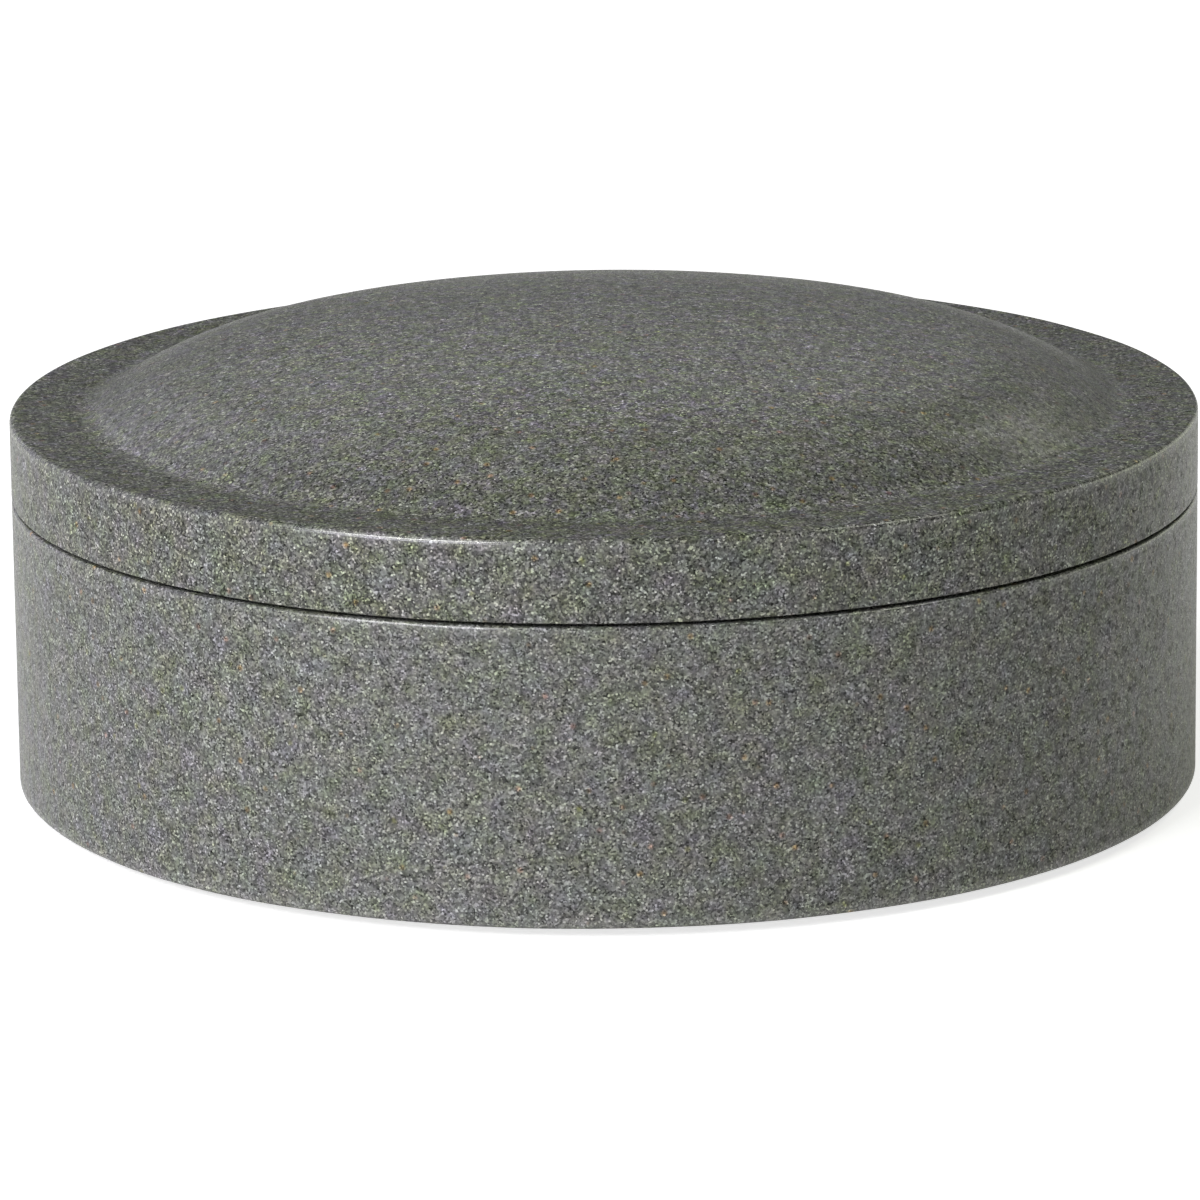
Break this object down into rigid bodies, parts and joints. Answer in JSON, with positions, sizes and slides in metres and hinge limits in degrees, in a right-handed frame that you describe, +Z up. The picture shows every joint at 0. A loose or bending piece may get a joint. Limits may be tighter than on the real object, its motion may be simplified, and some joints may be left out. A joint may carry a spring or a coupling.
{
  "type": "lidded stone box",
  "caption": "Low round box turned from grey stone, with a flat-rimmed domed lid that lifts off and felt pads underneath.",
  "frame": {"origin": "under the middle of the box, on the plane that the felt pads stand on", "axes": "+Z up along the box's axis, the way the lid lifts; X and Y are equal, because the box is round"},
  "size_m": [0.2, 0.2, 0.08],
  "materials": {
    "stone": "honed, fine-grained grey",
    "felt": "pressed felt, dark grey"
  },
  "bodies": {
    "base": {"stone_base": "stone", "felt_pad_1": "felt", "felt_pad_2": "felt", "felt_pad_3": "felt", "felt_pad_4": "felt"},
    "lid": {"stone_lid": "stone"}
  },
  "joints": [
    {"name": "lid_lift", "type": "slide", "parent": "base", "child": "lid", "axis": [0, 0, 1], "range_m": [0, 0.12]}
  ]
}
